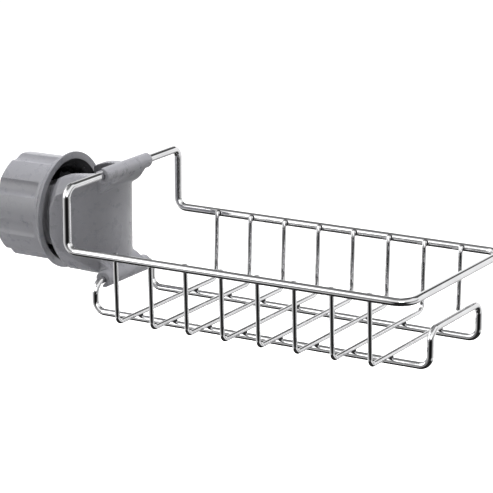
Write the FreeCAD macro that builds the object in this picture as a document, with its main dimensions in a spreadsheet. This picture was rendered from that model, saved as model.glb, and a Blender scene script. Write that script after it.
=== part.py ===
import FreeCAD, Part
import math
import os

import Sketcher

# Sponge holder: a wire tray on a moulded clamp that a large knob tightens on something upright and round.
# The origin is where the clamped axis, which is Z, crosses the knob's axis, which is X. The tray reaches out
# along +X, and the knob is on the -X side. All lengths are in millimetres.

Vector = FreeCAD.Vector

# Driving dimensions: name, value and what it is.
DIMENSIONS = [
    ("pipe_diameter", 25.0, "pipe that the clamp is drawn closed on"),
    ("grip_clearance", 0.05, "between the pipe and each rubber face"),
    ("seat_clearance", 0.05, "between a piece and the seat that it is fixed in"),
    ("pad_thickness", 1.5, "rubber of the saddle pad and of the pressure pad"),
    ("saddle_pad_height", 40.0, "saddle pad along the pipe"),
    ("saddle_pad_reach", 3.0, "how far the saddle pad runs past the pipe's centre towards the tray"),
    ("arm_radius", 21.6, "outside of the threaded arms"),
    ("arm_length", 21.6, "arms behind the shoulder"),
    ("arm_lead", 1.2, "bevel on the end of the arms"),
    ("shoulder_setback", 8.4, "shoulder behind the pipe's axis"),
    ("shoulder_radius", 27.7, "round edge of the shoulder"),
    ("housing_radius", 30.5, "round sides of the housing about the knob's axis"),
    ("housing_bevel", 3.9, "length of the cone from the shoulder's edge to the housing's side"),
    ("housing_front_radius", 27.5, "upright curved front, centred on the shoulder's plane"),
    ("housing_top", 24.0, "flat top above the knob's axis"),
    ("housing_bottom", 27.5, "flat bottom below the knob's axis"),
    ("crown_length", 12.4, "stretch of the top that curves down to the shoulder"),
    ("crown_radius", 23.7, "radius of that curve"),
    ("clip_radius", 4.0, "outside of the upper clip tube"),
    ("clip_length", 42.0, "upper clip tube across the tray"),
    ("hook_radius", 4.2, "outside of the lower clip hook"),
    ("hook_length", 40.0, "lower clip hook across the tray"),
    ("web_half_width", 15.5, "web between a clip and the housing, from its middle plane"),
    ("clip_web_drop", 11.0, "foot of the upper clip's web below its axis"),
    ("hook_web_rise", 8.0, "foot of the lower hook's web above its axis"),
    ("web_back", 5.2, "web's foot behind the clip's axis"),
    ("web_front_radius", 14.0, "hollow front of the web"),
    ("web_end_radius", 5.5, "hollow ends of the web under a clip's ends"),
    ("snap_share", 0.85, "mouth of a clip as a share of its wire's diameter"),
    ("knob_lip_setback", 12.8, "knob's lip behind the pipe's axis"),
    ("knob_length", 30.2, "knob from its lip to its closed end"),
    ("knob_lip_radius", 30.1, "lip's outside"),
    ("knob_lip_thickness", 0.8, "lip's rim along the knob's axis"),
    ("knob_flare_length", 3.2, "flare from the grip to the lip's rim"),
    ("knob_mouth_radius", 26.4, "knob's mouth at the lip"),
    ("knob_mouth_depth", 4.8, "bevel from the mouth to the thread"),
    ("knob_near_radius", 27.0, "grip at the flare"),
    ("knob_far_radius", 26.8, "grip at the closed end"),
    ("knob_end_wall", 3.0, "closed end"),
    ("knob_end_round", 1.5, "rounded edge of the closed end"),
    ("thread_clearance", 0.3, "between the arms and the knob's bore"),
    ("flute_count", 8, "recesses round the grip"),
    ("flute_first_angle", 13.0, "first recess from +Y about the knob's axis"),
    ("flute_radius", 6.8, "hollow of a recess, across the knob"),
    ("flute_depth", 2.0, "depth of a recess at the flare"),
    ("flute_end_gap", 1.7, "plain grip between the recesses and the flare"),
    ("hub_radius", 9.0, "hub inside the closed end"),
    ("hub_length", 12.0, "hub from the closed end's inner face"),
    ("stub_radius", 6.0, "pressure block's stub in the hub"),
    ("stub_clearance", 0.06, "between stub and hub, all round"),
    ("stub_end_gap", 0.3, "between the stub's end and the bottom of its socket"),
    ("stub_socket_depth", 9.0, "socket in the hub"),
    ("block_front_setback", 11.5, "pressure block's front face behind the pipe's axis"),
    ("block_back_setback", 24.0, "pressure block's back face behind the pipe's axis"),
    ("block_half_height", 14.5, "pressure block above and below the knob's axis"),
    ("block_corner_round", 3.0, "upright corners at the block's back"),
    ("guide_clearance", 0.4, "between the pressure block and each arm"),
    ("pressure_pad_half_width", 8.0, "pressure pad from its middle plane"),
    ("pressure_pad_height", 25.0, "pressure pad along the pipe"),
    ("rim_wire_diameter", 4.0, "rim wire"),
    ("base_wire_diameter", 3.5, "base wire"),
    ("cross_wire_diameter", 2.4, "cross wires"),
    ("weld_gap", 0.05, "between welded wires, filled by the welds"),
    ("frame_setback", 19.7, "hanging frame in front of the pipe's axis"),
    ("frame_height", 25.9, "upper run of the rim wire above the knob's axis"),
    ("rim_depth", 5.5, "rim below the knob's axis"),
    ("rim_width", 104.0, "rim across, between wire centres"),
    ("rim_length", 187.1, "rim from the hanging frame to its far end"),
    ("rim_end_radius", 8.0, "far corners of the rim"),
    ("frame_bend_radius", 5.0, "bends of the hanging frame"),
    ("hook_setback", 18.9, "raised near end of the base wire in front of the pipe's axis"),
    ("hook_depth", 28.3, "raised near end of the base wire below the knob's axis"),
    ("base_width", 53.2, "base wire across, between centres"),
    ("base_end_inset", 0.4, "base wire's far end short of the rim's far end"),
    ("base_far_rise", 18.0, "raised far end of the base wire above its long runs"),
    ("base_bend_radius", 5.5, "bends of the base wire"),
    ("cross_wire_count", 8, "cross wires"),
    ("first_cross_wire", 25.8, "first cross wire from the hanging frame"),
    ("last_cross_wire", 21.3, "last cross wire from the rim's far end"),
    ("cross_wire_drop", 34.4, "cross wire's floor below the rim's centre"),
    ("cross_wire_floor_width", 94.6, "cross wire's floor between its corners"),
    ("cross_wire_bend_radius", 3.6, "corners of a cross wire"),
]


class Size:
    """A dimension, or a sum or product of dimensions, as a value and as the expression that gives it."""

    def __init__(self, value, text):
        self.value = float(value)
        self.text = text

    def join(self, other, sign, result):
        text = other.text if isinstance(other, Size) else repr(other)
        return Size(result, f"({self.text} {sign} {text})")

    def __add__(self, other):
        return self.join(other, "+", self.value + number(other))

    def __sub__(self, other):
        return self.join(other, "-", self.value - number(other))

    def __mul__(self, other):
        return self.join(other, "*", self.value * number(other))

    def __truediv__(self, other):
        return self.join(other, "/", self.value / number(other))

    def __neg__(self):
        return Size(-self.value, f"(-{self.text})")


def number(size):
    """The plain value of a size or of a number."""
    return size.value if isinstance(size, Size) else float(size)


def sine(angle):
    """Sine of an angle in degrees, bound to the angle's cell."""
    return Size(math.sin(math.radians(angle.value)), f"sin({angle.text} * 1 deg)")


def cosine(angle):
    """Cosine of an angle in degrees, bound to the angle's cell."""
    return Size(math.cos(math.radians(angle.value)), f"cos({angle.text} * 1 deg)")


def root(square):
    """Square root of a size that is a square."""
    return Size(math.sqrt(square.value), f"sqrt({square.text})")


doc = FreeCAD.newDocument("sponge_holder")
sheet = doc.addObject("Spreadsheet::Sheet", "Sizes")
size = {}
for row, (alias, value, note) in enumerate(DIMENSIONS, start=1):
    sheet.set(f"A{row}", alias)
    sheet.set(f"B{row}", str(value))
    sheet.set(f"C{row}", note)
    sheet.setAlias(f"B{row}", alias)
    size[alias] = Size(value, f"Sizes.{alias}")
doc.recompute()


# Helpers for sketches and solids

def bind(feature, path, value):
    """Set a length or placement value of a feature and tie it to the sheet."""
    feature.setExpression(path, value.text if isinstance(value, Size) else repr(value))


def new_body(name):
    """A new empty body."""
    body = doc.addObject("PartDesign::Body", name)
    body.Label = name
    return body


def new_sketch(body, role, name, offset=None):
    """A sketch on one of the body's own origin planes, moved along the plane's normal by offset."""
    sketch = body.newObject("Sketcher::SketchObject", name)
    plane = next(f for f in body.Origin.OriginFeatures if f.Role == role)
    sketch.AttachmentSupport = [(plane, "")]
    sketch.MapMode = "FlatFace"
    if offset is not None:
        bind(sketch, "AttachmentOffset.Base.z", offset)
    return sketch


def fix(sketch, kind, element, position, value):
    """Hold one coordinate of a sketch point, measured from the origin, at a size."""
    index = sketch.addConstraint(Sketcher.Constraint(kind, -1, 1, element, position, number(value)))
    if isinstance(value, Size):
        bind(sketch, f"Constraints[{index}]", value)


def arc_between(start, end, radius, turn):
    """Arc of a given radius from start to end: turn is 1 anticlockwise and -1 clockwise."""
    chord = end - start
    middle = (start + end) * 0.5
    left = Vector(-chord.y, chord.x, 0).normalize()
    reach = math.sqrt(max(radius ** 2 - (chord.Length / 2) ** 2, 0.0))
    centre = middle + left * (reach * turn)
    first, last = (start, end) if turn > 0 else (end, start)
    angles = [math.atan2(p.y - centre.y, p.x - centre.x) for p in (first, last)]
    if angles[1] < angles[0]:
        angles[1] += 2 * math.pi
    return Part.ArcOfCircle(Part.Circle(centre, Vector(0, 0, 1), radius), *angles)


def outline(sketch, corners, arcs=None):
    """Close a profile through corners, each held by its two coordinates.

    arcs gives, for the side that starts at a corner, its radius and its turn; other sides are straight.
    """
    arcs = arcs or {}
    points = [Vector(number(x), number(y), 0) for x, y in corners]
    ends = []
    for i, start in enumerate(points):
        end = points[(i + 1) % len(points)]
        if i in arcs:
            radius, turn = arcs[i]
            element = sketch.addGeometry(arc_between(start, end, number(radius), turn))
            ends.append((element, 1, 2) if turn > 0 else (element, 2, 1))
            index = sketch.addConstraint(Sketcher.Constraint("Radius", element, number(radius)))
            bind(sketch, f"Constraints[{index}]", radius)
        else:
            element = sketch.addGeometry(Part.LineSegment(start, end))
            ends.append((element, 1, 2))
    for i, (x, y) in enumerate(corners):
        element, first, _ = ends[i]
        before, _, last = ends[i - 1]
        sketch.addConstraint(Sketcher.Constraint("Coincident", before, last, element, first))
        fix(sketch, "DistanceX", element, first, x)
        fix(sketch, "DistanceY", element, first, y)
    return sketch


def circle(sketch, x, y, radius):
    """A circle held by its centre and its radius."""
    centre = Vector(number(x), number(y), 0)
    element = sketch.addGeometry(Part.Circle(centre, Vector(0, 0, 1), number(radius)))
    fix(sketch, "DistanceX", element, 3, x)
    fix(sketch, "DistanceY", element, 3, y)
    index = sketch.addConstraint(Sketcher.Constraint("Radius", element, number(radius)))
    bind(sketch, f"Constraints[{index}]", radius)
    return sketch


def pad(body, sketch, length, symmetric=True):
    """Pad a sketch, to both sides of its plane alike unless symmetric is off."""
    feature = body.newObject("PartDesign::Pad", f"{sketch.Name}_pad")
    feature.Profile = sketch
    feature.SideType = "Symmetric" if symmetric else "One side"
    bind(feature, "Length", length)
    return feature


def pocket(body, sketch, length):
    """Cut a sketch to both sides of its plane, over a length that is more than the body has."""
    feature = body.newObject("PartDesign::Pocket", f"{sketch.Name}_pocket")
    feature.Profile = sketch
    feature.SideType = "Symmetric"
    bind(feature, "Length", length)
    return feature


def turn(body, sketch):
    """Turn a profile, drawn on the XZ plane above the X axis, once round that axis."""
    feature = body.newObject("PartDesign::Revolution", f"{sketch.Name}_turned")
    feature.Profile = sketch
    feature.ReferenceAxis = (sketch, ["H_Axis"])
    feature.Angle = 360.0
    return feature


def bent_wire(name, corners, radii, diameter, closed):
    """A round wire through corners, bent at each to an arc of its radius, as one solid.

    The straight runs are cylinders and the bends are turned circles, joined end to end.
    """
    count = len(corners)
    points = [Vector(*(number(c) for c in corner)) for corner in corners]
    bends = {}
    for i in range(count) if closed else range(1, count - 1):
        before = (points[i - 1] - points[i]).normalize()
        after = (points[(i + 1) % count] - points[i]).normalize()
        half_turn = (math.pi - before.getAngle(after)) / 2
        setback = number(radii[i]) * math.tan(half_turn)
        centre_line = (before + after).normalize()
        centre = points[i] + centre_line * (number(radii[i]) / math.cos(half_turn))
        axis = after.cross(before).normalize()
        bends[i] = (points[i] + before * setback, points[i] + after * setback, centre, axis, 2 * half_turn)
    pieces = []
    for i in range(count if closed else count - 1):
        following = (i + 1) % count
        start = bends[i][1] if i in bends else points[i]
        end = bends[following][0] if following in bends else points[following]
        run = end - start
        pieces.append(Part.makeCylinder(number(diameter) / 2, run.Length, start, run))
    for start, _, centre, axis, angle in bends.values():
        along = axis.cross(start - centre)
        section = Part.Face(Part.Wire(Part.makeCircle(number(diameter) / 2, start, along)))
        pieces.append(section.revolve(centre, axis, math.degrees(angle)))
    solid = pieces[0].multiFuse(pieces[1:]).removeSplitter()
    feature = doc.addObject("Part::Feature", name)
    feature.Label = name
    feature.Shape = solid.Solids[0] if len(solid.Solids) == 1 else solid
    return feature


parts = []

# Places that several pieces share
pipe_radius = size["pipe_diameter"] / 2
pad_face_radius = pipe_radius + size["grip_clearance"]
pad_back_radius = pad_face_radius + size["pad_thickness"]
slot_radius = pad_back_radius + size["seat_clearance"]
shoulder_x = -size["shoulder_setback"]
arm_end_x = shoulder_x - size["arm_length"]
front_x = shoulder_x + size["housing_front_radius"]
through = (size["housing_radius"] + size["knob_lip_radius"]) * 2
frame_x = size["frame_setback"]
frame_z = size["frame_height"]
rim_z = -size["rim_depth"]
hook_x = size["hook_setback"]
hook_z = -size["hook_depth"]

# Clamp housing: turned about the knob's axis, then cut to its upright curved front, crowned top and flat
# bottom. The slot leaves two threaded arms behind the shoulder.
housing = new_body("clamp_housing")
turned = new_sketch(housing, "XZ_Plane", "housing_section")
outline(turned, [
    (arm_end_x, 0.0),
    (arm_end_x, size["arm_radius"] - size["arm_lead"]),
    (arm_end_x + size["arm_lead"], size["arm_radius"]),
    (shoulder_x, size["arm_radius"]),
    (shoulder_x, size["shoulder_radius"]),
    (shoulder_x + size["housing_bevel"], size["housing_radius"]),
    (front_x, size["housing_radius"]),
    (front_x, 0.0),
])
turn(housing, turned)
front = new_sketch(housing, "XY_Plane", "housing_front")
outline(front, [
    (shoulder_x, -size["housing_front_radius"]),
    (front_x, 0.0),
    (shoulder_x, size["housing_front_radius"]),
    (shoulder_x, through),
    (through, through),
    (through, -through),
    (shoulder_x, -through),
], {0: (size["housing_front_radius"], 1), 1: (size["housing_front_radius"], 1)})
pocket(housing, front, through)
crown_end_x = shoulder_x + size["crown_length"]
crown_fall = size["crown_radius"] - root(
    size["crown_radius"] * size["crown_radius"] - size["crown_length"] * size["crown_length"])
top = new_sketch(housing, "XZ_Plane", "housing_crown")
outline(top, [
    (shoulder_x, size["housing_top"] - crown_fall),
    (crown_end_x, size["housing_top"]),
    (through, size["housing_top"]),
    (through, through),
    (shoulder_x, through),
], {0: (size["crown_radius"], -1)})
pocket(housing, top, through)
bottom = new_sketch(housing, "XZ_Plane", "housing_underside")
outline(bottom, [
    (shoulder_x, -through),
    (through, -through),
    (through, -size["housing_bottom"]),
    (shoulder_x, -size["housing_bottom"]),
])
pocket(housing, bottom, through)


def clip_web(name, x, z, foot_z, sign, radius, length):
    """Web that carries a clip on the housing, hollow in front and hollow under the clip's two ends.

    It is what two outlines have in common: one seen from the side, and one seen from the front.
    """
    seen_from_side = new_body(f"{name}_side")
    foot_x = x - size["web_back"]
    nose_x = x + size["web_back"] * 0.6
    nose_z = z - size["web_back"] * (0.4 * sign)
    sketch = new_sketch(seen_from_side, "XZ_Plane", f"{name}_side_outline")
    outline(sketch, [
        (foot_x, foot_z),
        (nose_x, nose_z),
        (x, z),
        (x - size["web_back"] * 1.6, z - radius * sign),
        (x - size["web_back"] * 1.6, foot_z),
    ], {0: (size["web_front_radius"], sign)})
    pad(seen_from_side, sketch, length)
    seen_from_front = new_body(f"{name}_front")
    sketch = new_sketch(seen_from_front, "YZ_Plane", f"{name}_front_outline")
    half = size["web_half_width"]
    tip = half + size["web_end_radius"]
    base_z = z - size["web_end_radius"] * sign
    outline(sketch, [
        (-half, foot_z),
        (half, foot_z),
        (half, base_z),
        (tip, z),
        (-tip, z),
        (-half, base_z),
    ], {2: (size["web_end_radius"], -sign), 4: (size["web_end_radius"], -sign)})
    pad(seen_from_front, sketch, through)
    common = doc.addObject("Part::Common", name)
    common.Base = seen_from_side
    common.Tool = seen_from_front
    return common


def clip_tube(name, x, z, radius, length):
    """Round clip along Y about one of the basket's wires."""
    body = new_body(name)
    sketch = circle(new_sketch(body, "XZ_Plane", f"{name}_section"), x, z, radius)
    pad(body, sketch, length)
    return body


def clip_bore(name, x, z, wire_diameter, reach_x, reach_z):
    """Seat of a wire in its clip, with a mouth narrower than the wire towards (reach_x, reach_z)."""
    body = new_body(name)
    seat = new_sketch(body, "XZ_Plane", f"{name}_seat")
    circle(seat, x, z, wire_diameter / 2 + size["seat_clearance"])
    pad(body, seat, through)
    mouth = new_sketch(body, "XZ_Plane", f"{name}_mouth")
    half = wire_diameter * size["snap_share"] / 2
    long_x = wire_diameter * (2 * reach_x)
    long_z = wire_diameter * (2 * reach_z)
    across_x = half * -reach_z
    across_z = half * reach_x
    outline(mouth, [
        (x + across_x, z + across_z),
        (x - across_x, z - across_z),
        (x - across_x + long_x, z - across_z + long_z),
        (x + across_x + long_x, z + across_z + long_z),
    ])
    pad(body, mouth, through)
    return body


# The clips' mouths: the upper one opens up and back, so that it carries the tray's weight, and the lower
# one opens down and back, so that the wire snaps in from behind as the tray swings down.
UPPER_MOUTH = (-math.sin(math.radians(35)), math.cos(math.radians(35)))
LOWER_MOUTH = (-math.sin(math.radians(35)), -math.cos(math.radians(35)))
slot_body = new_body("pipe_slot")
slot = new_sketch(slot_body, "XY_Plane", "pipe_slot_outline")
slot_end_x = arm_end_x - size["arm_lead"]
outline(slot, [
    (slot_end_x, -slot_radius),
    (Size(0, "0"), -slot_radius),
    (slot_radius, 0.0),
    (Size(0, "0"), slot_radius),
    (slot_end_x, slot_radius),
], {1: (slot_radius, 1), 2: (slot_radius, 1)})
pad(slot_body, slot, through)
joined = doc.addObject("Part::MultiFuse", "clamp_joined")
joined.Shapes = [
    housing,
    clip_web("clip_web", frame_x, frame_z, frame_z - size["clip_web_drop"], 1,
             size["clip_radius"], size["clip_length"]),
    clip_tube("clip_tube", frame_x, frame_z, size["clip_radius"], size["clip_length"]),
    clip_web("hook_web", hook_x, hook_z, hook_z + size["hook_web_rise"], -1,
             size["hook_radius"], size["hook_length"]),
    clip_tube("hook_tube", hook_x, hook_z, size["hook_radius"], size["hook_length"]),
]
joined.Refine = True
hollows = doc.addObject("Part::MultiFuse", "clamp_hollows")
hollows.Shapes = [
    slot_body,
    clip_bore("clip_bore", frame_x, frame_z, size["rim_wire_diameter"], *UPPER_MOUTH),
    clip_bore("hook_bore", hook_x, hook_z, size["base_wire_diameter"], *LOWER_MOUTH),
]
clamp_body = doc.addObject("Part::Cut", "clamp_body")
clamp_body.Label = "clamp_body"
clamp_body.Base = joined
clamp_body.Tool = hollows
clamp_body.Refine = True
parts.append(clamp_body)

# Saddle pad: a rubber half sleeve in the round end of the slot.
saddle_pad = new_body("saddle_pad")
sleeve = new_sketch(saddle_pad, "XY_Plane", "saddle_pad_outline")
reach = size["saddle_pad_reach"]
outer_reach = root(pad_back_radius * pad_back_radius - reach * reach)
inner_reach = root(pad_face_radius * pad_face_radius - reach * reach)
outline(sleeve, [
    (reach, -outer_reach),
    (pad_back_radius, 0.0),
    (reach, outer_reach),
    (reach, inner_reach),
    (pad_face_radius, 0.0),
    (reach, -inner_reach),
], {
    0: (pad_back_radius, 1),
    1: (pad_back_radius, 1),
    3: (pad_face_radius, -1),
    4: (pad_face_radius, -1),
})
pad(saddle_pad, sleeve, size["saddle_pad_height"])
parts.append(saddle_pad)

# Tightening knob: a turned cap nut with a lip, a bevelled mouth and a hub inside its closed end, and with
# recesses round its grip.
lip_x = -size["knob_lip_setback"]
knob_end_x = lip_x - size["knob_length"]
knob_floor_x = knob_end_x + size["knob_end_wall"]
bore_radius = size["arm_radius"] + size["thread_clearance"]
hub_face_x = knob_floor_x + size["hub_length"]
socket_radius = size["stub_radius"] + size["stub_clearance"]
socket_floor_x = hub_face_x - size["stub_socket_depth"]
flare_x = lip_x - size["knob_lip_thickness"] - size["knob_flare_length"]
knob = new_body("tightening_knob")
section = new_sketch(knob, "XZ_Plane", "knob_section")
outline(section, [
    (knob_end_x, 0.0),
    (knob_end_x, size["knob_far_radius"] - size["knob_end_round"]),
    (knob_end_x + size["knob_end_round"], size["knob_far_radius"]),
    (flare_x, size["knob_near_radius"]),
    (lip_x - size["knob_lip_thickness"], size["knob_lip_radius"]),
    (lip_x, size["knob_lip_radius"]),
    (lip_x, size["knob_mouth_radius"]),
    (lip_x - size["knob_mouth_depth"], bore_radius),
    (knob_floor_x, bore_radius),
    (knob_floor_x, size["hub_radius"]),
    (hub_face_x, size["hub_radius"]),
    (hub_face_x, socket_radius),
    (socket_floor_x, socket_radius),
    (socket_floor_x, 0.0),
], {1: (size["knob_end_round"], -1)})
turn(knob, section)
flute = new_sketch(knob, "YZ_Plane", "knob_flute", knob_end_x - size["knob_end_round"])
flute_centre_radius = size["knob_near_radius"] - size["flute_depth"] + size["flute_radius"]
flute_angle = size["flute_first_angle"]
circle(flute, flute_centre_radius * cosine(flute_angle), flute_centre_radius * sine(flute_angle),
       size["flute_radius"])
flute_pocket = knob.newObject("PartDesign::Pocket", "knob_flute_pocket")
flute_pocket.Profile = flute
flute_pocket.Reversed = True
bind(flute_pocket, "Length", flare_x - size["flute_end_gap"] - knob_end_x + size["knob_end_round"])
doc.recompute()
flutes = knob.newObject("PartDesign::PolarPattern", "knob_flutes")
flutes.Originals = [flute_pocket]
flutes.Axis = (flute, ["N_Axis"])
flutes.Angle = 360.0
bind(flutes, "Occurrences", size["flute_count"])
knob.Tip = flutes
parts.append(knob)

# Pressure block: guided between the arms, with a hollow front for its pad and a stub in the knob's hub.
block = new_body("pressure_block")
block_outline = new_sketch(block, "XY_Plane", "block_outline")
block_half_width = slot_radius - size["guide_clearance"]
block_front_x = -size["block_front_setback"]
block_back_x = -size["block_back_setback"]
seat_radius = pad_back_radius + size["seat_clearance"]
seat_half_width = root(seat_radius * seat_radius - size["block_front_setback"] * size["block_front_setback"])
corner = size["block_corner_round"]
outline(block_outline, [
    (block_back_x, -block_half_width + corner),
    (block_back_x + corner, -block_half_width),
    (block_front_x, -block_half_width),
    (block_front_x, -seat_half_width),
    (block_front_x, seat_half_width),
    (block_front_x, block_half_width),
    (block_back_x + corner, block_half_width),
    (block_back_x, block_half_width - corner),
], {0: (corner, 1), 3: (seat_radius, -1), 6: (corner, 1)})
pad(block, block_outline, size["block_half_height"] * 2)
stub = new_sketch(block, "YZ_Plane", "block_stub", block_back_x)
circle(stub, 0.0, 0.0, size["stub_radius"])
stub_pad = pad(block, stub, block_back_x - socket_floor_x - size["stub_end_gap"], symmetric=False)
stub_pad.Reversed = True
parts.append(block)

# Pressure pad: a curved rubber facing in the block's hollow front.
pressure_pad = new_body("pressure_pad")
facing = new_sketch(pressure_pad, "XY_Plane", "pressure_pad_outline")
half = size["pressure_pad_half_width"]
back_x = -root(pad_back_radius * pad_back_radius - half * half)
face_x = -root(pad_face_radius * pad_face_radius - half * half)
outline(facing, [
    (back_x, half),
    (back_x, -half),
    (face_x, -half),
    (face_x, half),
], {0: (pad_back_radius, 1), 2: (pad_face_radius, -1)})
pad(pressure_pad, facing, size["pressure_pad_height"])
parts.append(pressure_pad)

# Rim wire: the upper run through the clip, down both sides, and round the rim.
rim_y = size["rim_width"] / 2
rim_end_x = frame_x + size["rim_length"]
frame_bend = size["frame_bend_radius"]
rim_bend = size["rim_end_radius"]
parts.append(bent_wire("rim_wire", [
    (frame_x, -rim_y, frame_z),
    (frame_x, rim_y, frame_z),
    (frame_x, rim_y, rim_z),
    (rim_end_x, rim_y, rim_z),
    (rim_end_x, -rim_y, rim_z),
    (frame_x, -rim_y, rim_z),
], [frame_bend, frame_bend, frame_bend, rim_bend, rim_bend, frame_bend], size["rim_wire_diameter"], True))

# Base wire: under the cross wires, with its near end bent up into the hook and its far end bent up.
floor_z = rim_z - size["cross_wire_drop"]
base_z = floor_z - (size["cross_wire_diameter"] + size["base_wire_diameter"]) / 2 - size["weld_gap"]
base_y = size["base_width"] / 2
base_end_x = rim_end_x - size["base_end_inset"]
base_end_z = base_z + size["base_far_rise"]
parts.append(bent_wire("base_wire", [
    (hook_x, -base_y, hook_z),
    (hook_x, base_y, hook_z),
    (hook_x, base_y, base_z),
    (base_end_x, base_y, base_z),
    (base_end_x, base_y, base_end_z),
    (base_end_x, -base_y, base_end_z),
    (base_end_x, -base_y, base_z),
    (hook_x, -base_y, base_z),
], [size["base_bend_radius"]] * 8, size["base_wire_diameter"], True))

# Cross wires: each a U from the inside of the rim, across the base wire and up to the rim again.
arm_y = rim_y - (size["rim_wire_diameter"] + size["cross_wire_diameter"]) / 2 - size["weld_gap"]
floor_y = size["cross_wire_floor_width"] / 2
arm_rise = size["rim_wire_diameter"] / 2 - size["cross_wire_diameter"] / 4
arm_top_z = rim_z + arm_rise
arm_top_y = arm_y + (arm_y - floor_y) * arm_rise / size["cross_wire_drop"]
cross_bend = size["cross_wire_bend_radius"]
cross_count = int(size["cross_wire_count"].value)
cross_span = size["rim_length"] - size["first_cross_wire"] - size["last_cross_wire"]
for i in range(cross_count):
    x = frame_x + size["first_cross_wire"] + cross_span / (cross_count - 1) * i
    parts.append(bent_wire(f"cross_wire_{i + 1}", [
        (x, -arm_top_y, arm_top_z),
        (x, -floor_y, floor_z),
        (x, floor_y, floor_z),
        (x, arm_top_y, arm_top_z),
    ], [None, cross_bend, cross_bend, None], size["cross_wire_diameter"], False))

doc.recompute()
for item in doc.Objects:
    if any(word in item.State for word in ("Invalid", "Error")):
        raise RuntimeError(f"{item.Name} did not build: {item.State}")
for item in parts:
    if item.Shape.isNull() or not item.Shape.isValid() or len(item.Shape.Solids) != 1:
        raise RuntimeError(f"{item.Label} is not one valid solid")
os.makedirs("parts", exist_ok=True)
for item in parts:
    item.Shape.exportStep(f"parts/{item.Label}.step")
    print(f"{item.Label}: {item.Shape.Volume / 1000:.2f} cm3")
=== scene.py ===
"""Looks of a wire sponge tray with a moulded clamp, dressed over its solids. Lengths are in metres."""

import math

import bpy
import numpy as np
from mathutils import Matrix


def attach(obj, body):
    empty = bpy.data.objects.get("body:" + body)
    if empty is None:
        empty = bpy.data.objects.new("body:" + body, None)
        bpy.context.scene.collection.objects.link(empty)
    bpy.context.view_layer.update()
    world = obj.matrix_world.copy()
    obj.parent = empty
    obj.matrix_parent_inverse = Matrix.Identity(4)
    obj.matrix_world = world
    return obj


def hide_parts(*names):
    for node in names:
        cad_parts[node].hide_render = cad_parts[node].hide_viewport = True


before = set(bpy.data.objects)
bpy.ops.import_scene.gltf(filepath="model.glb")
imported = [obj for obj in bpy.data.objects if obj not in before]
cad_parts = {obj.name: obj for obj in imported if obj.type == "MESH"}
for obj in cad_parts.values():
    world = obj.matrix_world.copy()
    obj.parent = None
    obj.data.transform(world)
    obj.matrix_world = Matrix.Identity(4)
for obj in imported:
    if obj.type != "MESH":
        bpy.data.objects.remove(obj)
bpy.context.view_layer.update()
MM = 0.001

# Clamp housing: one grey ABS moulding with soft edges, two threaded arms for the knob, and two snap clips
# for the tray's wires. The thread is moulded on the outsides of the arms.
HOUSING_VOXEL = 0.5 * MM
HOUSING_ROUNDS = 6
MERGE_REACH = 0.002 * MM
ARM_RADIUS = 21.6 * MM
ARM_SPAN = (-30.5 * MM, -9.6 * MM)
THREAD_PITCH = 5.0 * MM
THREAD_DEPTH = 1.1 * MM
THREAD_FLANK = 0.20
GROOVE_FLAT = 0.40
PLASTIC_GREY = (0.205, 0.205, 0.222)
# painted shade: near black for the deep shadow inside the knob's mouth and bore
PAINTED_SHADE_BLACK = (0.012, 0.012, 0.013, 1.0)


class Shade:
    """A value in a material's nodes. Sums and products of values add Math nodes."""

    def __init__(self, tree, socket):
        self.tree = tree
        self.socket = socket

    def add(self, kind, settings=None, sockets=None, output=0):
        """Add a node with its settings, then its sockets' values or links, and give one of its outputs."""
        node = self.tree.nodes.new(kind)
        for name, value in (settings or {}).items():
            setattr(node, name, value)
        for name, value in (sockets or {}).items():
            if isinstance(value, Shade):
                self.tree.links.new(value.socket, node.inputs[name])
            else:
                node.inputs[name].default_value = value
        return Shade(self.tree, node.outputs[output])

    def math(self, operation, first, second):
        return self.add("ShaderNodeMath", {"operation": operation}, {0: first, 1: second})

    def __add__(self, other):
        return self.math("ADD", self, other)

    __radd__ = __add__

    def __sub__(self, other):
        return self.math("SUBTRACT", self, other)

    def __rsub__(self, other):
        return self.math("SUBTRACT", other, self)

    def __mul__(self, other):
        return self.math("MULTIPLY", self, other)

    __rmul__ = __mul__

    def noise(self, scale, detail=2.0, roughness=0.5):
        """Smooth noise from 0 to 1 at so many cells a metre."""
        return self.add("ShaderNodeTexNoise", {}, {"Vector": self, "Scale": scale, "Detail": detail,
                                                    "Roughness": roughness}, "Fac")

    def range(self, low, high, new_low, new_high):
        """The value moved from one range to another, and held at its ends."""
        return self.add("ShaderNodeMapRange", {}, {"Value": self, "From Min": low, "From Max": high,
                                                   "To Min": new_low, "To Max": new_high}, "Result")

    def blend(self, low, high):
        """A colour between two colours, by this value."""
        return self.add("ShaderNodeMix", {"data_type": "RGBA"}, {"Factor": self, 6: low, 7: high}, 2)

    def bump(self, strength, distance):
        """A normal from this value as a height."""
        return self.add("ShaderNodeBump", {}, {"Height": self, "Strength": strength, "Distance": distance},
                        "Normal")


def new_finish(name, fixed):
    """A material with its shader's constants set: gives the material and its shader."""
    material = bpy.data.materials.new(name)
    material.use_nodes = True
    shader = material.node_tree.nodes["Principled BSDF"]
    for socket, value in fixed.items():
        shader.inputs[socket].default_value = value
    return material, shader


def coordinate(material, output):
    """A place on the piece that wears a material, as a value: in the piece's own frame or on its UV map."""
    tree = material.node_tree
    return Shade(tree, tree.nodes.new("ShaderNodeTexCoord").outputs[output])


def link(shader, **sockets):
    """Join values to a shader's sockets, with each socket's spaces written as underscores."""
    for name, value in sockets.items():
        value.tree.links.new(value.socket, shader.inputs[name.replace("_", " ")])


def tone(colour, factor):
    """A colour, lighter or darker by a factor, with its alpha."""
    return tuple(min(c * factor, 1.0) for c in colour) + (1.0,)


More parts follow.
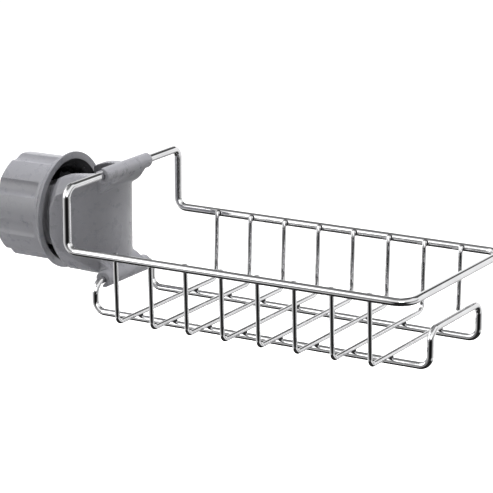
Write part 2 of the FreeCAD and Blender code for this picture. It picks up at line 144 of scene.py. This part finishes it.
def moulded_plastic(name, colour, inside=None):
    """Satin moulded ABS: a fine spark-eroded grain, faint flow mottling and a gloss that varies a little.

    Where the function given as inside gives 1 at a place, the plastic is painted black there: painted shade.
    """
    material, shader = new_finish(name, {"IOR": 1.5, "Specular IOR Level": 0.6})
    place = coordinate(material, "Object")
    grain = place.noise(2600.0, detail=3.0, roughness=0.6)
    mottle = place.noise(70.0, detail=4.0, roughness=0.55)
    handled = place.noise(180.0)
    shade = mottle * 0.7 + grain * 0.3
    paint = shade.range(0.3, 0.7, 0.0, 1.0).blend(tone(colour, 0.95), tone(colour, 1.05))
    # painted shade: black where the mask given as inside says deep shadow falls
    if inside:
        paint = inside(place).blend(paint, PAINTED_SHADE_BLACK)
    link(shader,
         Base_Color=paint,
         Roughness=(handled * 0.6 + grain * 0.4).range(0.3, 0.7, 0.25, 0.32),
         Normal=grain.bump(0.05, 0.05 * MM))
    return material


def new_piece(name, points, faces, material, smooth_angle=None):
    """An object at the origin from points and faces, smooth all over or up to an angle between faces."""
    mesh = bpy.data.meshes.new(name)
    mesh.from_pydata(points, [], faces)
    mesh.update()
    mesh.polygons.foreach_set("use_smooth", np.ones(len(mesh.polygons), dtype=bool))
    if smooth_angle is not None:
        mesh.set_sharp_from_angle(angle=math.radians(smooth_angle))
    mesh.materials.append(material)
    piece = bpy.data.objects.new(name, mesh)
    bpy.context.scene.collection.objects.link(piece)
    return piece


def soft_moulding(name, node, voxel, rounds):
    """A merged copy of a solid with moulded edges: even voxels all over it, then rounds of smoothing.

    Each round moves a point halfway to the mean of its neighbours, so an edge is rounded by about a voxel
    every two rounds.
    """
    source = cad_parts[node]
    mesh = source.data.copy()
    mesh.name = name
    piece = bpy.data.objects.new(name, mesh)
    bpy.context.scene.collection.objects.link(piece)
    weld = piece.modifiers.new("weld", "WELD")
    weld.merge_threshold = MERGE_REACH
    voxels = piece.modifiers.new("voxels", "REMESH")
    voxels.mode = "VOXEL"
    voxels.voxel_size = voxel
    voxels.use_smooth_shade = True
    soften = piece.modifiers.new("soften", "SMOOTH")
    soften.factor = 0.5
    soften.iterations = rounds
    graph = bpy.context.evaluated_depsgraph_get()
    made = bpy.data.meshes.new_from_object(piece.evaluated_get(graph))
    piece.modifiers.clear()
    piece.data = made
    bpy.data.meshes.remove(mesh)
    made.name = name
    made.materials.clear()
    return piece


def thread_form(phase, flat):
    """The height of a thread at a phase in pitches, from 0 to 1.

    It is 1 within flat of the middle of a pitch, as a share of half a pitch, and falls to 0 over a flank.
    """
    off_middle = np.abs(phase - np.floor(phase) - 0.5) * 2.0
    return np.clip((flat + THREAD_FLANK - off_middle) / THREAD_FLANK, 0.0, 1.0)


def cut_thread(piece):
    """Cut the thread into the arms: each point on them that is further out is drawn in to the groove.

    The groove is at the arms' radius less the depth times the thread's form. Its phase is the place along the
    axis in pitches, less the turn round the axis.
    """
    points = np.empty(len(piece.data.vertices) * 3)
    piece.data.vertices.foreach_get("co", points)
    points = points.reshape(-1, 3)
    turn = np.arctan2(points[:, 2], points[:, 1]) / (2 * math.pi)
    reach = np.hypot(points[:, 1], points[:, 2])
    groove = ARM_RADIUS - THREAD_DEPTH * thread_form(points[:, 0] / THREAD_PITCH - turn, GROOVE_FLAT)
    on_arm = (points[:, 0] > ARM_SPAN[0]) & (points[:, 0] < ARM_SPAN[1])
    pull = np.where(on_arm, np.minimum(1.0, groove / np.maximum(reach, 1e-9)), 1.0)
    points[:, 1:] *= pull[:, None]
    piece.data.vertices.foreach_set("co", points.ravel())
    piece.data.update()


grey_plastic = moulded_plastic("grey_abs", PLASTIC_GREY)
clamp = soft_moulding("clamp_housing", "clamp_body", HOUSING_VOXEL, HOUSING_ROUNDS)
clamp.data.materials.append(grey_plastic)
cut_thread(clamp)
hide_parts("clamp_body")
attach(clamp, "holder")

# Saddle pad: a black rubber half sleeve bedded in the round end of the slot, with level ribs so that it
# doesn't slip. It is pressed in before the tray is clipped on.
FACE_RADIUS = 12.55 * MM
PAD_BACK_RADIUS = 14.05 * MM
RIB_PITCH = 4.0 * MM
RIB_GROOVE = 0.6 * MM
RIB_STEEPNESS = 1.6
RIB_SHIFT = 0.3
RIBBED_SHARE = 0.93
PAD_EDGE = 0.3 * MM
PAD_ROWS = 240
PAD_COLUMNS = 49
SADDLE_HALF_HEIGHT = 20.0 * MM
SADDLE_END_X = 3.0 * MM
RUBBER_BLACK = (0.022, 0.022, 0.023)


def moulded_rubber(name, colour):
    """Matt black rubber: a fine sandy grain and a dusty bloom in patches."""
    material, shader = new_finish(name, {"IOR": 1.5, "Specular IOR Level": 0.35})
    place = coordinate(material, "Object")
    grain = place.noise(3200.0, roughness=0.6)
    bloom = place.noise(120.0, detail=4.0, roughness=0.6).range(0.45, 0.7, 0.0, 1.0)
    link(shader,
         Base_Color=bloom.blend(tone(colour, 1.0), tone(colour, 1.9)),
         Roughness=(bloom * 0.12 + grain * 0.1) + 0.62,
         Normal=grain.bump(0.25, 0.06 * MM))
    return material


def ring_faces(rings, sides):
    """Faces of a grid of rings that each close on themselves: every quad joins two rings and two sides."""
    ring, side = np.meshgrid(np.arange(rings - 1), np.arange(sides), indexing="ij")
    following = (side + 1) % sides
    quads = np.stack([ring * sides + side, ring * sides + following,
                      (ring + 1) * sides + following, (ring + 1) * sides + side], axis=-1)
    return quads.reshape(-1, 4)


def outward(points, faces):
    """The faces, turned over if the closed surface that they make has a negative volume."""
    corner = points[[f[0] for f in faces]]
    total = 0.0
    longest = max(len(f) for f in faces)
    for i in range(1, longest - 1):
        kept = [k for k, f in enumerate(faces) if len(f) > i + 1]
        second = points[[faces[k][i] for k in kept]]
        third = points[[faces[k][i + 1] for k in kept]]
        total += np.einsum("ij,ij->i", corner[kept], np.cross(second, third)).sum()
    return faces if total > 0 else [f[::-1] for f in faces]


def ribbed_pad(name, half_height, end_turn, facing, material):
    """A curved rubber pad: a ribbed outline in height and radius, carried round the clamped axis.

    Its face is at the face radius plus a groove between every two ribs, a raised cosine of the height that is
    made steeper and held from 0 to 1. At each radius it goes from one end to the other by the angle
    end_turn(radius), about the direction facing.
    """
    height = np.linspace(-half_height + PAD_EDGE, half_height - PAD_EDGE, PAD_ROWS)
    wave = 0.5 + 0.5 * np.cos(2 * math.pi * height / RIB_PITCH)
    between_ribs = np.clip(wave * RIB_STEEPNESS - RIB_SHIFT, 0.0, 1.0)
    ribbed = np.abs(height) < half_height * RIBBED_SHARE
    face = FACE_RADIUS + RIB_GROOVE * between_ribs * ribbed
    quarter = np.linspace(0.0, math.pi / 2, 5)
    back_edges = []
    for level, start in ((half_height - PAD_EDGE, math.pi / 2), (PAD_EDGE - half_height, 0.0)):
        angle = start - quarter
        back_edges.append(np.stack([PAD_BACK_RADIUS - PAD_EDGE + PAD_EDGE * np.cos(angle),
                                    level + PAD_EDGE * np.sin(angle)], axis=1))
    outline = np.concatenate([
        np.stack([face, height], axis=1),
        [[FACE_RADIUS + PAD_EDGE, half_height]],
        *back_edges,
        [[FACE_RADIUS + PAD_EDGE, -half_height]],
    ])
    radius = outline[:, 0]
    share = np.linspace(-1.0, 1.0, PAD_COLUMNS)
    angle = facing + share[:, None] * end_turn(radius)[None, :]
    points = np.stack([radius * np.cos(angle), radius * np.sin(angle),
                       np.broadcast_to(outline[:, 1], angle.shape)], axis=-1).reshape(-1, 3)
    first = list(range(len(outline)))
    last = [len(outline) * (PAD_COLUMNS - 1) + i for i in first]
    faces = ring_faces(PAD_COLUMNS, len(outline)).tolist() + [first[::-1], last]
    return new_piece(name, points, outward(points, faces), material, 40)


black_rubber = moulded_rubber("black_rubber", RUBBER_BLACK)
saddle = ribbed_pad("saddle_liner", SADDLE_HALF_HEIGHT, lambda r: np.arccos(SADDLE_END_X / r), 0.0,
                    black_rubber)
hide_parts("saddle_pad")
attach(saddle, "holder")

# Pressure block: a grey moulded block that slides between the arms, with a round stub that turns in the
# knob's hub, so that it moves with the knob and doesn't turn.
BLOCK_VOXEL = 0.4 * MM
BLOCK_ROUNDS = 5
block = soft_moulding("pressure_block_moulding", "pressure_block", BLOCK_VOXEL, BLOCK_ROUNDS)
block.data.materials.append(grey_plastic)
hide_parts("pressure_block")
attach(block, "pusher")

# Pressure pad: the same ribbed black rubber as the saddle pad, moulded to the same curve. It is glued in the
# hollow front of the pressure block.
PRESSURE_HALF_HEIGHT = 12.5 * MM
PRESSURE_HALF_WIDTH = 8.0 * MM
presser = ribbed_pad("pressure_facing", PRESSURE_HALF_HEIGHT, lambda r: np.arcsin(PRESSURE_HALF_WIDTH / r),
                     math.pi, black_rubber)
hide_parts("pressure_pad")
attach(presser, "pusher")

# Tightening knob: a grey ABS cap nut with round scoops along its grip and a flared lip. Its mouth and bore
# are
# painted black: painted shade for the deep shadow in the gap by the housing. It screws over the two arms, and
# its hub holds the pressure block's stub.
KNOB_OUTLINE = [
    # along the axis, radius, rounding, all in millimetres
    (-43.0, 0.0, 0.0),
    (-43.0, 26.8, 1.5),
    (-16.8, 27.0, 1.2),
    (-13.6, 30.1, 0.3),
    (-12.8, 30.1, 0.3),
    (-12.8, 26.4, 0.3),
    (-17.6, 21.9, 0.3),
    (-40.0, 21.9, 1.2),
    (-40.0, 9.0, 1.2),
    (-28.0, 9.0, 0.6),
    (-28.0, 6.06, 0.4),
    (-37.0, 6.06, 0.3),
    (-37.0, 0.0, 0.0),
]
KNOB_SIDES = 288
KNOB_STEP = 0.6 * MM
KNOB_TONE = 1.08
LIP_RADIUS = 30.1 * MM
FLUTE_COUNT = 8
FLUTE_FIRST = math.radians(13.0)
FLUTE_RADIUS = 6.8 * MM
FLUTE_CENTRE_RADIUS = 31.8 * MM
FLUTE_END_X = -18.5 * MM
FLUTE_RUN_OUT = 0.6 * MM
FLUTE_EDGE = 0.12 * MM
BORE_RADIUS = 21.9 * MM
RIDGE_HEIGHT = 1.1 * MM
RIDGE_FLAT = 0.20
RIDGE_RUN_OUT = 2.0 * MM
THREAD_SPAN = (-38.6 * MM, -17.7 * MM)
# Where the painted shade (black) starts and where it is full: first as a radius, then along the axis
MOUTH_PAINTED_SHADE = ((26.6 * MM, 26.3 * MM), (-18.4 * MM, -18.1 * MM))
BORE_PAINTED_SHADE = ((23.4 * MM, 23.0 * MM), (-41.6 * MM, -41.2 * MM))
SAME_RADIUS = 0.01 * MM


def bent_path(corners, radii, closed, step):
    """Points along straight runs and tangent arcs: each corner is rounded to an arc of its radius.

    An arc takes a point every 6 degrees, and a run takes one at least every step. A radius of 0 keeps the
    corner itself.
    """
    corners = np.asarray(corners, float)
    count = len(corners)
    arcs = []
    for i in range(count):
        if radii[i] == 0.0:
            arcs.append(corners[i:i + 1])
            continue
        before = corners[i - 1] - corners[i]
        after = corners[(i + 1) % count] - corners[i]
        before /= np.linalg.norm(before)
        after /= np.linalg.norm(after)
        half = math.acos(np.clip(-before @ after, -1.0, 1.0)) / 2
        middle = (before + after) / np.linalg.norm(before + after)
        centre = corners[i] + middle * radii[i] / math.cos(half)
        across = (after - before) / np.linalg.norm(after - before)
        angle = np.linspace(-half, half, max(int(math.degrees(2 * half) / 6) + 1, 3))
        arcs.append(centre + radii[i] * (np.sin(angle)[:, None] * across - np.cos(angle)[:, None] * middle))
    pieces = []
    for i in range(count):
        pieces.append(arcs[i])
        if i < count - 1 or closed:
            start = arcs[i][-1]
            end = arcs[(i + 1) % count][0]
            parts = max(int(np.linalg.norm(end - start) / step), 1)
            share = np.arange(1, parts)[:, None] / parts
            pieces.append(start + (end - start) * share)
    return np.concatenate(pieces)


def smooth_step(value):
    """0 below 0, 1 above 1, and a smooth curve between."""
    held = np.clip(value, 0.0, 1.0)
    return held * held * (3.0 - 2.0 * held)


def knob_painted_shade(place):
    """Painted shade: 1 on the mouth's cone and in the bore, which are painted black for deep shadow, 0 on the
    outside: by the place along the axis and the radius.
    """
    along = place.add("ShaderNodeSeparateXYZ", {}, {"Vector": place}, "X")
    across = place.add("ShaderNodeVectorMath", {"operation": "MULTIPLY"}, {0: place, 1: (0.0, 1.0, 1.0)})
    radius = place.add("ShaderNodeVectorMath", {"operation": "LENGTH"}, {0: across}, "Value")
    mouth, bore = (radius.range(*radii, 0.0, 1.0) * along.range(*span, 0.0, 1.0)
                   for radii, span in (MOUTH_PAINTED_SHADE, BORE_PAINTED_SHADE))
    return mouth + bore


def pole_faces(rings, sides):
    """Triangles from a point at each end of a grid of rings to its first and last ring."""
    side = np.arange(sides)
    following = (side + 1) % sides
    last_ring = (rings - 1) * sides
    first_pole = np.full_like(side, rings * sides)
    near = np.stack([first_pole, following, side], axis=1)
    far = np.stack([first_pole + 1, last_ring + side, last_ring + following], axis=1)
    return near.tolist() + far.tolist()


def scooped_grip(along, radius, spin):
    """The grip's radius with its scoops cut in, by the place along the axis and the turn round it.

    A scoop is part of a cylinder along the axis. At an angle off its middle line its floor is at the centre's
    radius times the cosine, less the root of the scoop's radius squared minus the square of the centre's
    radius times the sine. The grip keeps the lower of the two, joined by a soft edge, up to the lip.
    """
    pitch = 2 * math.pi / FLUTE_COUNT
    off_middle = (spin - FLUTE_FIRST + pitch / 2) % pitch - pitch / 2
    half_chord = FLUTE_RADIUS ** 2 - (FLUTE_CENTRE_RADIUS * np.sin(off_middle)) ** 2
    floor = FLUTE_CENTRE_RADIUS * np.cos(off_middle) - np.sqrt(np.maximum(half_chord, 0.0))
    apart = radius - floor
    cut = (apart + np.sqrt(apart ** 2 + FLUTE_EDGE ** 2)) / 2
    on_grip = (np.arange(len(along)) < np.argmax(radius > LIP_RADIUS * 0.999))[:, None]
    run_out = smooth_step((FLUTE_END_X - along) / FLUTE_RUN_OUT)
    return radius - cut * (half_chord > 0.0) * on_grip * run_out


def bore_ridge(along, radius, spin):
    """The height of the thread in the knob's bore, with the same phase as the arms' groove that it fits."""
    in_bore = np.abs(radius - BORE_RADIUS) < SAME_RADIUS
    starts = smooth_step((along - THREAD_SPAN[0]) / RIDGE_RUN_OUT)
    ends = smooth_step((THREAD_SPAN[1] - along) / RIDGE_RUN_OUT)
    phase = along / THREAD_PITCH - spin / (2 * math.pi)
    return in_bore * starts * ends * thread_form(phase, RIDGE_FLAT) * RIDGE_HEIGHT


def turned_knob(name, material):
    """The knob's outline turned round the X axis: each ring has the grip's radius less the thread's ridge."""
    outline = np.array([(x, r, 0.0) for x, r, _ in KNOB_OUTLINE]) * MM
    section = bent_path(outline, [rounding * MM for _, _, rounding in KNOB_OUTLINE], False, KNOB_STEP)
    along = section[1:-1, 0][:, None]
    radius = section[1:-1, 1][:, None]
    spin = np.arange(KNOB_SIDES) * 2 * math.pi / KNOB_SIDES
    surface = scooped_grip(along, radius, spin) - bore_ridge(along, radius, spin)
    rings = np.stack([np.broadcast_to(along, surface.shape), surface * np.cos(spin), surface * np.sin(spin)],
                     axis=-1)
    points = np.concatenate([rings.reshape(-1, 3), section[[0, -1]]])
    faces = ring_faces(len(rings), KNOB_SIDES).tolist() + pole_faces(len(rings), KNOB_SIDES)
    return new_piece(name, points, outward(points, faces), material, 35)


# the knob's grey plastic, with painted shade: black in its mouth and bore
knob_plastic_with_painted_shade = moulded_plastic("knob_abs_with_painted_shade", tuple(c * KNOB_TONE for c in PLASTIC_GREY), knob_painted_shade)
knob = turned_knob("knob_moulding", knob_plastic_with_painted_shade)
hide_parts("tightening_knob")
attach(knob, "knob")

# Rim wire: one 4 mm bright steel wire, bent to a closed loop round the top of the tray. Its raised end snaps
# into the clamp's upper clip, from which the tray hangs.
RIM_RADIUS = 2.0 * MM
FRAME_X = 19.7 * MM
FRAME_Z = 25.9 * MM
RIM_Z = -5.5 * MM
RIM_Y = 52.0 * MM
RIM_END_X = 206.8 * MM
FRAME_BEND = 5.0 * MM
RIM_END_BEND = 8.0 * MM
RUN_STEP = 5.0 * MM
WIRE_SIDES = 32
WIRE_END_ROUND = 0.4 * MM
SLANT = (0.43, 0.57, 0.70)
BRIGHT_METAL = (0.83, 0.83, 0.84)


def bright_metal(name, colour, low_roughness, high_roughness):
    """Polished wire: faint lines from drawing along its length, and a gloss that varies in patches."""
    material, shader = new_finish(name, {"Metallic": 1.0})
    along_wire = coordinate(material, "UV")
    stretched = along_wire.add("ShaderNodeMapping", {}, {"Vector": along_wire, "Scale": (2500.0, 40.0, 1.0)})
    lines = stretched.noise(1.0, detail=3.0, roughness=0.6)
    patches = coordinate(material, "Object").noise(90.0, detail=3.0)
    link(shader,
         Base_Color=patches.range(0.35, 0.65, 0.0, 1.0).blend(tone(colour, 0.95), tone(colour, 1.03)),
         Roughness=(lines * 0.5 + patches * 0.5).range(0.3, 0.7, low_roughness, high_roughness),
         Normal=lines.bump(0.02, 0.01 * MM))
    return material


def rounded_ends(path, wire_radius):
    """An open path with extra points near its ends, and the wire's radius at each of its points.

    The radius shrinks towards each end by a quarter circle, down to a flat.
    """
    inset = WIRE_END_ROUND * (1.0 - np.cos(np.linspace(0.0, math.pi / 2, 6)[:-1]))
    start = path[0] + (path[1] - path[0]) / np.linalg.norm(path[1] - path[0]) * inset[:, None]
    end = path[-1] + (path[-2] - path[-1]) / np.linalg.norm(path[-2] - path[-1]) * inset[::-1, None]
    path = np.concatenate([start, path[1:-1], end])
    radii = np.full(len(path), wire_radius)
    trim = WIRE_END_ROUND - np.sqrt(WIRE_END_ROUND ** 2 - (WIRE_END_ROUND - inset) ** 2)
    radii[:len(inset)] -= trim
    radii[-len(inset):] -= trim[::-1]
    return path, radii


def wire(name, path, closed, wire_radius, material):
    """A round wire along a path: at each point a ring across the path's direction.

    A ring's two axes come from one slanted direction that no run is parallel to. The UV map runs round the
    wire and along it, in metres.
    """
    if closed:
        radii = np.full(len(path), wire_radius)
        ahead = np.roll(path, -1, axis=0) - np.roll(path, 1, axis=0)
    else:
        path, radii = rounded_ends(path, wire_radius)
        ahead = np.gradient(path, axis=0)
    ahead /= np.linalg.norm(ahead, axis=1)[:, None]
    first = np.cross(ahead, np.array(SLANT))
    first /= np.linalg.norm(first, axis=1)[:, None]
    second = np.cross(ahead, first)
    spin = np.arange(WIRE_SIDES) * 2 * math.pi / WIRE_SIDES
    across = np.cos(spin)[None, :, None] * first[:, None] + np.sin(spin)[None, :, None] * second[:, None]
    points = (path[:, None] + radii[:, None, None] * across).reshape(-1, 3)
    count = len(path)
    quads = ring_faces(count + 1 if closed else count, WIRE_SIDES)
    faces = (quads % len(points)).tolist()
    length = np.concatenate([[0.0], np.cumsum(np.linalg.norm(np.diff(path, axis=0), axis=1))])
    length = np.append(length, length[-1] + np.linalg.norm(path[0] - path[-1]))
    column = quads[:, :1] % WIRE_SIDES + np.array([0, 1, 1, 0])
    turn = column * (2 * math.pi * wire_radius / WIRE_SIDES)
    uv = np.stack([turn, length[quads // WIRE_SIDES]], axis=-1).reshape(-1, 2)
    if not closed:
        cap = list(range(WIRE_SIDES))
        faces += [cap[::-1], [(count - 1) * WIRE_SIDES + i for i in cap]]
        uv = np.concatenate([uv, np.zeros((2 * WIRE_SIDES, 2))])
    piece = new_piece(name, points, outward(points, faces), material, 50)
    layer = piece.data.uv_layers.new(name="wire")
    layer.data.foreach_set("uv", uv.astype(np.float32).ravel())
    return piece


bright_wire = bright_metal("bright_wire", BRIGHT_METAL, 0.02, 0.06)
rim_path = bent_path([
    (FRAME_X, -RIM_Y, FRAME_Z),
    (FRAME_X, RIM_Y, FRAME_Z),
    (FRAME_X, RIM_Y, RIM_Z),
    (RIM_END_X, RIM_Y, RIM_Z),
    (RIM_END_X, -RIM_Y, RIM_Z),
    (FRAME_X, -RIM_Y, RIM_Z),
], [FRAME_BEND] * 3 + [RIM_END_BEND] * 2 + [FRAME_BEND], True, RUN_STEP)
rim = wire("rim_bright_wire", rim_path, True, RIM_RADIUS, bright_wire)
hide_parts("rim_wire")
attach(rim, "holder")

# Base wire: one 3.5 mm bright wire, bent to a closed loop under the floor of the tray. Its near end is bent
# up into the clamp's lower hook, and its far end is bent up to hang a cloth on.
BASE_RADIUS = 1.75 * MM
BASE_Y = 26.6 * MM
BASE_Z = -42.9 * MM
HOOK_X = 18.9 * MM
HOOK_Z = -28.3 * MM
BASE_END_X = 206.4 * MM
BASE_END_Z = -24.9 * MM
BASE_BEND = 5.5 * MM
base_path = bent_path([
    (HOOK_X, -BASE_Y, HOOK_Z),
    (HOOK_X, BASE_Y, HOOK_Z),
    (HOOK_X, BASE_Y, BASE_Z),
    (BASE_END_X, BASE_Y, BASE_Z),
    (BASE_END_X, BASE_Y, BASE_END_Z),
    (BASE_END_X, -BASE_Y, BASE_END_Z),
    (BASE_END_X, -BASE_Y, BASE_Z),
    (HOOK_X, -BASE_Y, BASE_Z),
], [BASE_BEND] * 8, True, RUN_STEP)
base = wire("base_bright_wire", base_path, True, BASE_RADIUS, bright_wire)
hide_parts("base_wire")
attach(base, "holder")

# Cross wires: 2.4 mm bright wires, each bent to a U with arms that lean out a little. They are welded to
# the rim's inside and to the base wire's top.
CROSS_RADIUS = 1.2 * MM
CROSS_COUNT = 8
CROSS_FIRST_X = 45.5 * MM
CROSS_PITCH = 20.0 * MM
CROSS_FLOOR_Z = -39.9 * MM
CROSS_FLOOR_Y = 47.3 * MM
CROSS_TOP_Z = -4.1 * MM
CROSS_TOP_Y = 48.81 * MM
CROSS_BEND = 3.6 * MM
for number in range(CROSS_COUNT):
    x = CROSS_FIRST_X + CROSS_PITCH * number
    cross_path = bent_path([
        (x, -CROSS_TOP_Y, CROSS_TOP_Z),
        (x, -CROSS_FLOOR_Y, CROSS_FLOOR_Z),
        (x, CROSS_FLOOR_Y, CROSS_FLOOR_Z),
        (x, CROSS_TOP_Y, CROSS_TOP_Z),
    ], [0.0, CROSS_BEND, CROSS_BEND, 0.0], False, RUN_STEP)
    cross = wire(f"cross_bright_wire_{number + 1}", cross_path, False, CROSS_RADIUS, bright_wire)
    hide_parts(f"cross_wire_{number + 1}")
    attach(cross, "holder")

# Welds: small pressed beads of the wires' own metal, dark and dull beside the polish. There is one wherever a
# cross wire meets the base wire or the rim.
BEAD_RINGS = 9
BEAD_SIDES = 14
BEAD_SQUARENESS = 0.85
BASE_BEAD = (1.55 * MM, 1.75 * MM, 0.75 * MM)
RIM_BEAD = (1.55 * MM, 0.7 * MM, 1.7 * MM)
WELD_TONE = 0.08


def weld_beads(name, centres, half_sizes, material):
    """Beads at several centres, all in one mesh: each is a ball stretched to the half sizes.

    Each coordinate of the ball is raised to a power below 1, which makes it a little square.
    """
    level = np.linspace(-math.pi / 2, math.pi / 2, BEAD_RINGS + 2)[1:-1]
    spin = np.arange(BEAD_SIDES) * 2 * math.pi / BEAD_SIDES
    unit = np.stack([
        np.cos(level)[:, None] * np.cos(spin),
        np.cos(level)[:, None] * np.sin(spin),
        np.broadcast_to(np.sin(level)[:, None], (BEAD_RINGS, BEAD_SIDES)),
    ], axis=-1).reshape(-1, 3)
    unit = np.concatenate([unit, [[0.0, 0.0, -1.0], [0.0, 0.0, 1.0]]])
    unit = np.sign(unit) * np.abs(unit) ** BEAD_SQUARENESS
    points = centres[:, None] + unit[None] * np.asarray(half_sizes)
    faces = ring_faces(BEAD_RINGS, BEAD_SIDES).tolist() + pole_faces(BEAD_RINGS, BEAD_SIDES)
    faces = outward(points[0] - centres[0], faces)
    size = len(unit)
    all_faces = [[i + size * k for i in f] for k in range(len(centres)) for f in faces]
    return new_piece(name, points.reshape(-1, 3), all_faces, material, 60)


weld_metal = bright_metal("weld_metal", tuple(c * WELD_TONE for c in BRIGHT_METAL), 0.3, 0.45)
cross_x = CROSS_FIRST_X + CROSS_PITCH * np.arange(CROSS_COUNT)
both_sides = np.repeat([-1.0, 1.0], CROSS_COUNT)
base_welds = weld_beads("base_weld_beads", np.stack([
    np.tile(cross_x, 2),
    both_sides * BASE_Y,
    np.full(2 * CROSS_COUNT, CROSS_FLOOR_Z - CROSS_RADIUS),
], axis=1), BASE_BEAD, weld_metal)
rim_welds = weld_beads("rim_weld_beads", np.stack([
    np.tile(cross_x, 2),
    both_sides * (RIM_Y - RIM_RADIUS),
    np.full(2 * CROSS_COUNT, RIM_Z),
], axis=1), RIM_BEAD, weld_metal)
for beads in (base_welds, rim_welds):
    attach(beads, "holder")

# Studio: a pale floor far below and three soft lamps in a white room. Bright metal mirrors the room with dark
# parts: the wall behind the camera and its foot, a rail round the front, a screen, a rail and a foot at the
# back, a grey floor at two sides, the ceiling and the shade straight below.
FLOOR_Z = -450.0 * MM
FLOOR_RADIUS = 14.0
FLOOR_SIDES = 64
FLOOR_GLOW = 0.7
ROOM_LEVEL = 0.35
BLACK = (0.0, 0.0, 0.0, 1.0)
WHITE = (1.0, 1.0, 1.0, 1.0)
DARK_PARTS = {
    # bearing, half angles at which it is full and gone, in degrees, or None for all round;
    # sines of the heights between which it fades in; how dark it is
    "camera_wall": ((-60.0, 30.0, 62.0), ((0.06, -0.02), (-0.80, -0.70)), 0.96),
    "wall_foot": ((-60.0, 45.0, 112.0), ((-0.10, -0.16), (-0.46, -0.38)), 0.80),
    "front_rail": ((-50.0, 95.0, 108.0), ((0.22, 0.12), (-0.13, -0.06)), 0.75),
    "back_screen": ((142.0, 22.0, 26.0), ((0.90, 0.82), (0.22, 0.40)), 0.85),
    "back_rail": ((86.0, 22.0, 28.0), ((0.43, 0.46),), 0.92),
    "back_foot": ((90.0, 30.0, 60.0), ((-0.40, -0.50),), 0.65),
    "shade_below": (None, ((-0.56, -0.67),), 0.97),
    "left_floor": ((-125.0, 40.0, 80.0), ((-0.06, -0.14),), 0.25),
    "back_floor": ((70.0, 40.0, 80.0), ((0.05, -0.20),), 0.06),
    "ceiling": (None, ((0.78, 0.87),), 0.75),
}
scene = bpy.context.scene
scene.view_settings.view_transform = "Standard"


def ray_kinds(tree):
    """Whether a ray comes from the camera, from a mirror or through glass, each 0 or 1."""
    rays = tree.nodes.new("ShaderNodeLightPath")
    return [Shade(tree, rays.outputs[f"Is {kind} Ray"]) for kind in ("Camera", "Glossy", "Transmission")]


floor_paint, floor_shader = new_finish("pale_floor", {
    "Base Color": (0.92, 0.92, 0.92, 1.0),
    "Roughness": 0.9,
    "Specular IOR Level": 0.1,
    "Emission Strength": FLOOR_GLOW,
})
seen, mirrored, through_glass = ray_kinds(floor_paint.node_tree)
link(floor_shader, Emission_Color=(seen + mirrored + through_glass).blend(BLACK, WHITE))
turn = np.arange(FLOOR_SIDES) * 2 * math.pi / FLOOR_SIDES
floor_edge = np.stack([FLOOR_RADIUS * np.cos(turn), FLOOR_RADIUS * np.sin(turn),
                       np.full(FLOOR_SIDES, FLOOR_Z)], axis=1)
floor = new_piece("floor", floor_edge, [list(range(FLOOR_SIDES))], floor_paint)
floor.visible_glossy = False

scene.world = bpy.data.worlds.new("studio")
scene.world.use_nodes = True
tree = scene.world.node_tree
seen, mirrored, through_glass = ray_kinds(tree)
direction = Shade(tree, tree.nodes.new("ShaderNodeTexCoord").outputs["Generated"])
east, north, high = (
    direction.add("ShaderNodeSeparateXYZ", {}, {"Vector": direction}, axis) for axis in "XYZ"
)
bearing = east.math("ARCTAN2", north, east)


def toward(degrees, full, none):
    """1 within an angle full of a bearing, falling to 0 at an angle none from it."""
    off = east.add("ShaderNodeMath", {"operation": "COSINE"}, {0: bearing - math.radians(degrees)})
    return off.range(math.cos(math.radians(none)), math.cos(math.radians(full)), 0.0, 1.0)


room = 1.0
for side, fades, depth in DARK_PARTS.values():
    part = toward(*side) if side else 1.0
    for start, end in fades:
        part = high.range(start, end, 0.0, 1.0) * part
    room = (1.0 - part * depth) * room
plain = seen + through_glass
level = (plain + mirrored * room) + (1.0 - plain - mirrored) * ROOM_LEVEL
background = tree.nodes["Background"]
background.inputs["Color"].default_value = WHITE
tree.links.new(level.socket, background.inputs["Strength"])


def soft_lamp(name, place, aim, size, power, in_mirrors=True):
    """A square soft lamp that points from its place to its aim, and may be hidden from mirrors."""
    lamp = bpy.data.lights.new(name, "AREA")
    lamp.shape = "SQUARE"
    lamp.size = size
    lamp.energy = power
    holder = bpy.data.objects.new(name, lamp)
    way = np.array(place) - np.array(aim)
    flat = math.hypot(way[0], way[1])
    holder.location = place
    holder.rotation_euler = (math.atan2(flat, way[2]), 0.0, math.atan2(way[1], way[0]) + math.pi / 2)
    holder.visible_glossy = in_mirrors
    scene.collection.objects.link(holder)


soft_lamp("top_lamp", (0.12, 0.5, 1.2), (0.0, 0.0, 0.0), 0.9, 41.0, in_mirrors=False)
soft_lamp("left_lamp", (-1.0, -0.9, 0.5), (0.0, 0.0, 0.0), 1.2, 8.0)
soft_lamp("right_lamp", (0.95, -1.1, 0.45), (0.03, 0.0, 0.0), 0.7, 2.5)

# Camera: it looks at the tray from the front and a little to the right and above, through a long lens. Its
# place is the one that agrees best with points measured along the wires.
CAMERA_TARGET = np.array([91.39, 0.0, -5.83]) * MM
CAMERA_AZIMUTH = math.radians(30.15)
CAMERA_ELEVATION = math.radians(14.95)
CAMERA_DISTANCE = 1262.0 * MM
SENSOR_WIDTH = 36.0
FOCAL_PIXELS = 2543.91
IMAGE_PIXELS = 493.0
back = np.array([
    math.sin(CAMERA_AZIMUTH) * math.cos(CAMERA_ELEVATION),
    -math.cos(CAMERA_AZIMUTH) * math.cos(CAMERA_ELEVATION),
    math.sin(CAMERA_ELEVATION),
])
camera = bpy.data.objects.new("camera", bpy.data.cameras.new("camera"))
camera.data.sensor_width = SENSOR_WIDTH
camera.data.lens = SENSOR_WIDTH * FOCAL_PIXELS / IMAGE_PIXELS
camera.data.clip_start = 0.05
camera.location = CAMERA_TARGET + back * CAMERA_DISTANCE
camera.rotation_euler = (math.pi / 2 - CAMERA_ELEVATION, 0.0, CAMERA_AZIMUTH)
scene.collection.objects.link(camera)
scene.camera = camera
